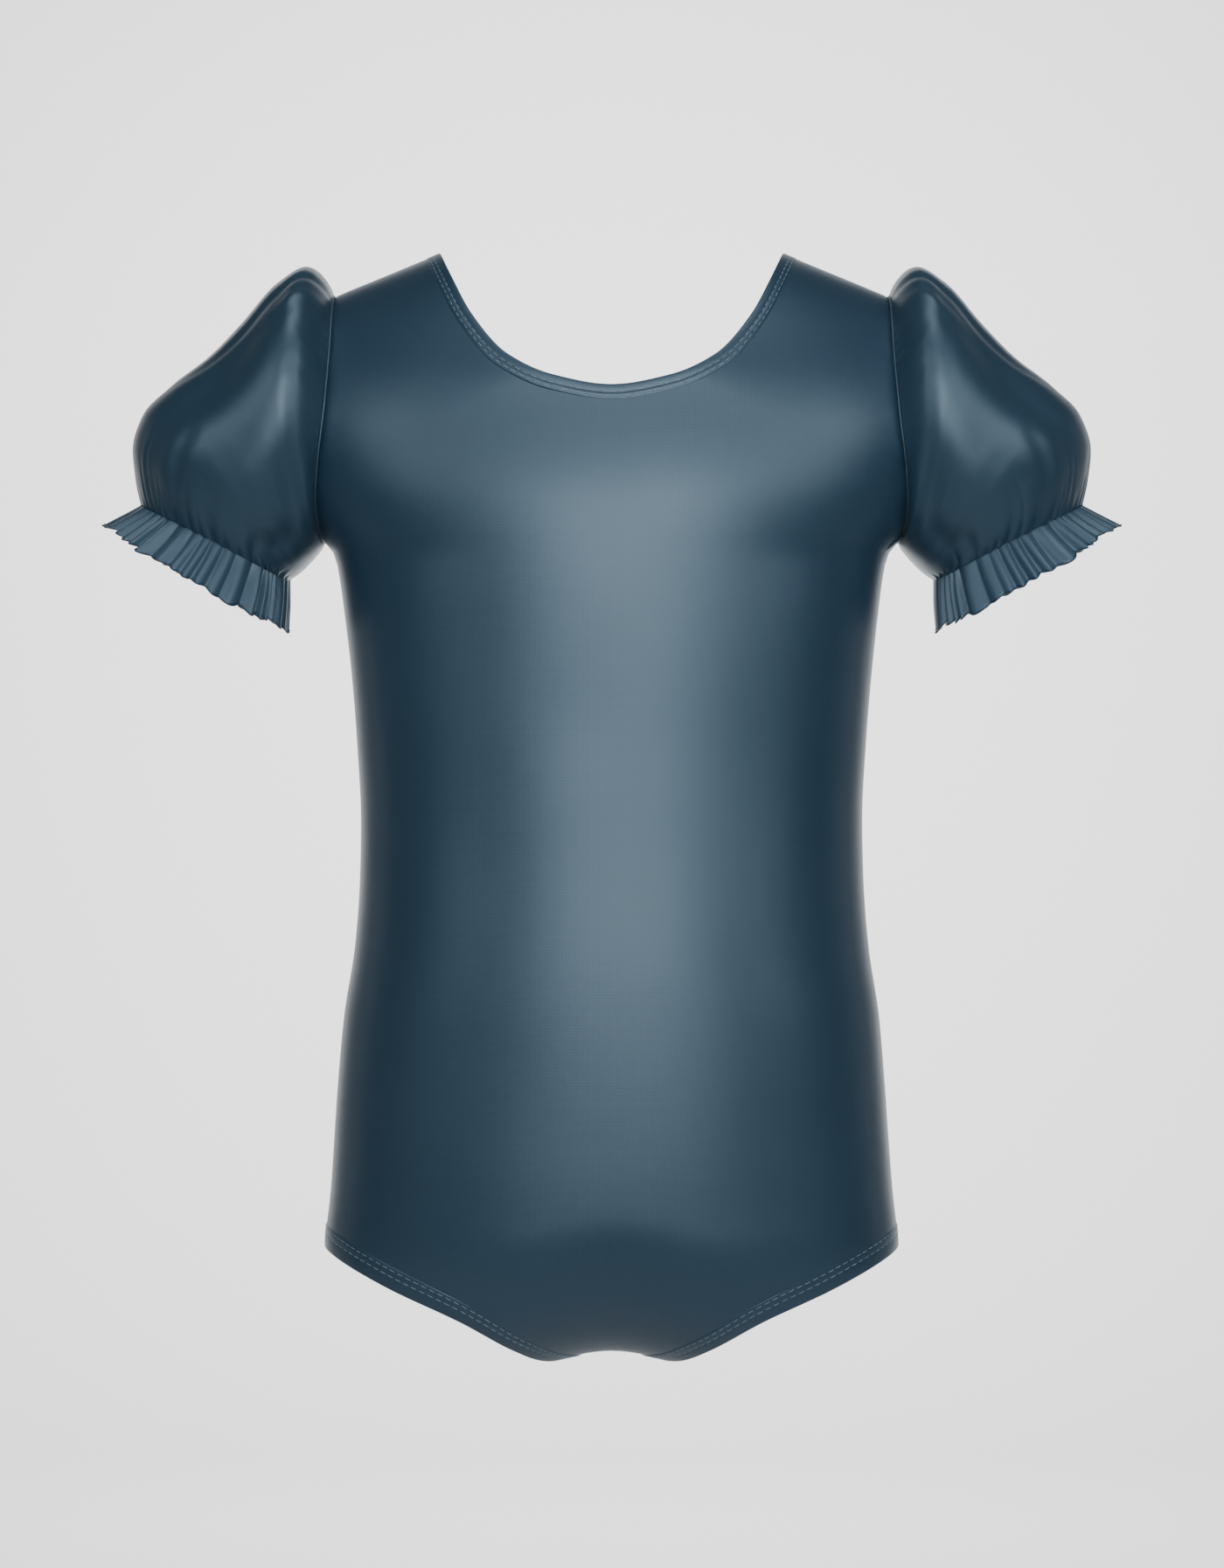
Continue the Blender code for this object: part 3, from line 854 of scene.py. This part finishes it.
def thread_material():
    material = bpy.data.materials.new("sewing_thread")
    material.use_nodes = True
    tree = material.node_tree
    shader = tree.nodes["Principled BSDF"]
    where = node_of(tree, "ShaderNodeTexCoord", (-900, 0))
    twist = node_of(tree, "ShaderNodeTexNoise", (-700, 0), Scale=900.0, Detail=2.0)
    tree.links.new(where.outputs["Object"], twist.inputs["Vector"])
    colour = node_of(tree, "ShaderNodeMix", (-400, 100))
    colour.data_type = "RGBA"
    colour.inputs["A"].default_value = [c * 0.8 for c in THREAD[:3]] + [1.0]
    colour.inputs["B"].default_value = [c * 1.2 for c in THREAD[:3]] + [1.0]
    tree.links.new(twist.outputs["Fac"], colour.inputs["Factor"])
    tree.links.new(colour.outputs["Result"], shader.inputs["Base Color"])
    shader.inputs["Roughness"].default_value = 0.45
    return material


def body_tree():
    """Both panels' even outer faces as one tree, for laying hems and stitches on."""
    verts, faces = [], []
    for side in (FRONT, BACK):
        points = panel_grid(side)
        start = len(verts)
        verts += [Vector(p) for p in points.reshape(-1, 3)]
        cells = grid_faces(*points.shape[:2], False, False, side is FRONT)
        faces += [[start + i for i in cell] for cell in cells]
    return BVHTree.FromPolygons(verts, faces)


def build_body(satin, thread):
    tree = body_tree()
    pieces = {}
    for side in (FRONT, BACK):
        points = panel_grid(side)
        normal = grid_normals(points, -side.sign)
        points = points + normal * panel_relief(side, points)[..., None]
        made = grid_object(f"{side.name}_cloth", points, outward=side is FRONT)
        thicken(made, BODY_WALL)
        pieces[side.name] = finish_piece(made, satin, [side.name])
    loops = [
        ("neck", neck_loop(), NECK_ROWS),
        ("leg_left", leg_loop(), LEG_ROWS),
        ("leg_right", mirrored(leg_loop()), LEG_ROWS),
    ]
    for name, loop, rows in loops:
        edge = Edge(loop, tree)
        hem = grid_object(f"{name}_hem", hem_grid(edge, rows), wrap=True, wrap_size=True)
        face_outwards(hem)
        pieces[f"{name}_hem"] = finish_piece(hem, satin)
        lift = HEM_LIFT - STITCH_DIP
        paths = [edge.at(row, lift) for row in rows]
        sewn = stitches(f"{name}_stitches", paths, [edge.normal] * len(rows))
        pieces[f"{name}_stitches"] = finish_piece(sewn, thread)
    return pieces


def face_outwards(made):
    mesh = bmesh.new()
    mesh.from_mesh(made.data)
    bmesh.ops.recalc_face_normals(mesh, faces=mesh.faces)
    mesh.to_mesh(made.data)
    mesh.free()


def build_sleeves(satin, soft, light):
    pieces = {}
    for name, lean in (("left", 0.4), ("right", 1.7)):
        flip = name == "right"
        points = sleeve_grid(lean)
        ruffle = ruffle_grid(lean)
        turns = np.arange(SLEEVE_TURNS) * 2 * math.pi / SLEEVE_TURNS
        loop = armhole_ring(turns, SEAM_GAP / 2)
        out = unit(loop - loop.mean(axis=0))
        lift = unit(out * [0.3, 1, 1])
        seam = seam_grid(loop + lift * 0.10 * MM, lift)
        edge = ruffle[:, -1]
        roll = seam_grid(edge, unit(edge - ruffle[:, -2]), HEM_ROLL)
        if flip:
            points, ruffle, seam, roll = map(mirrored, (points, ruffle, seam, roll))
        puff = grid_object(f"sleeve_{name}_cloth", points, wrap=True, outward=not flip)
        thicken(puff, SLEEVE_WALL, even=False)
        pieces[f"sleeve_{name}"] = finish_piece(puff, soft, [f"sleeve_{name}"])
        frill = grid_object(f"ruffle_{name}_cloth", ruffle, wrap=True, outward=not flip)
        thicken(frill, RUFFLE_WALL, even=False)
        pieces[f"ruffle_{name}"] = finish_piece(frill, light, [f"ruffle_{name}"])
        rolled = grid_object(f"ruffle_hem_{name}", roll, wrap=True, wrap_size=True)
        face_outwards(rolled)
        pieces[f"roll_{name}"] = finish_piece(rolled, satin)
        ridge = grid_object(f"armhole_seam_{name}", seam, wrap=True, wrap_size=True)
        face_outwards(ridge)
        # The seam ridge takes the lighter ruffle cloth: a painted highlight along the armhole seam.
        pieces[f"seam_{name}"] = finish_piece(ridge, light)
    return pieces


def backdrop():
    """A pale floor that curves up into a backdrop, with room for a camera behind the object."""
    floor_z, near, far, bend, high = -0.75, -3.0, 2.6, 1.0, 3.0
    profile = [(near, floor_z), (0.0, floor_z), (far - bend, floor_z)]
    for k in range(1, 16):
        a = math.pi / 2 * k / 15
        profile.append((far - bend + bend * math.sin(a), floor_z + bend * (1 - math.cos(a))))
    profile.append((far, high))
    points = np.array([[(x, y, z) for y, z in profile] for x in (-4.0, 4.0)])
    made = grid_object("floor_and_backdrop", points)
    material = bpy.data.materials.new("pale_paper")
    material.use_nodes = True
    shader = material.node_tree.nodes["Principled BSDF"]
    shader.inputs["Base Color"].default_value = PALE
    shader.inputs["Roughness"].default_value = 0.9
    made.data.materials.append(material)


LightRow = namedtuple("LightRow", "name place aim wide high spread radiance")
LIGHTS = [
    LightRow("key", (0.22, -2.3, 0.38), (0.22, 0.0, 0.30), 1.5, 1.7, 64, 0.90),
    LightRow("high_left", (1.9, -2.1, 0.80), (0, 0, -0.1), 1.4, 1.4, 60, 0.42),
    LightRow("high_right", (-1.9, -2.1, 0.80), (0, 0, -0.1), 1.4, 1.4, 60, 0.30),
    LightRow("rim_left", (1.9, 0.7, 0.0), (0, 0, -0.22), 0.5, 1.6, 60, 0.05),
    LightRow("rim_right", (-1.9, 0.7, 0.0), (0, 0, -0.22), 0.5, 1.6, 60, 0.05),
    LightRow("top", (0.1, -0.7, 1.7), (0, 0, -0.1), 1.4, 0.9, 90, 0.75),
    LightRow("wash", (0.0, 0.35, 0.35), (0, 2.6, 0.0), 1.5, 0.7, 130, 20.0),
]
WORLD_STRENGTH = 0.09


def light_and_camera():
    world = bpy.data.worlds.new("studio")
    world.use_nodes = True
    world.node_tree.nodes["Background"].inputs["Color"].default_value = (1, 1, 1, 1)
    world.node_tree.nodes["Background"].inputs["Strength"].default_value = WORLD_STRENGTH
    bpy.context.scene.world = world
    for row in LIGHTS:
        data = bpy.data.lights.new(row.name, "AREA")
        data.shape = "RECTANGLE"
        data.size = row.wide
        data.size_y = row.high
        data.spread = math.radians(row.spread)
        data.energy = row.radiance * math.pi * row.wide * row.high
        lamp = bpy.data.objects.new(row.name, data)
        lamp.visible_camera = False
        lamp.location = row.place
        away = Vector(row.aim) - lamp.location
        lamp.rotation_euler = away.to_track_quat("-Z", "Y").to_euler()
        bpy.context.scene.collection.objects.link(lamp)
    data = bpy.data.cameras.new("camera")
    data.sensor_fit = "VERTICAL"
    data.sensor_height = SENSOR_HEIGHT
    data.lens = SENSOR_HEIGHT * CAMERA_FAR / FRAME_HEIGHT
    camera = bpy.data.objects.new("camera", data)
    camera.location = (0.5 * PX, -CAMERA_FAR, AIM_Z)
    camera.rotation_euler = (math.pi / 2, 0, 0)
    bpy.context.scene.collection.objects.link(camera)
    bpy.context.scene.camera = camera


satin = cloth("satin_knit_body", SATIN_DARK, SATIN_LIGHT, 0.37, 0.5 * MM)
soft_satin = cloth("satin_sleeve", SLEEVE_DARK, SLEEVE_LIGHT, 0.35, 0.35 * MM)
# The ruffle's cloth, also laid on the armhole seam ridges as a painted highlight.
ruffle_satin_and_seam_highlight = cloth("satin_ruffle_and_seam_highlight", RUFFLE_DARK, RUFFLE_LIGHT, 0.40, 0.35 * MM)
thread = thread_material()
made = {**build_body(satin, thread), **build_sleeves(satin, soft_satin, ruffle_satin_and_seam_highlight)}
backdrop()
light_and_camera()

bpy.context.view_layer.update()
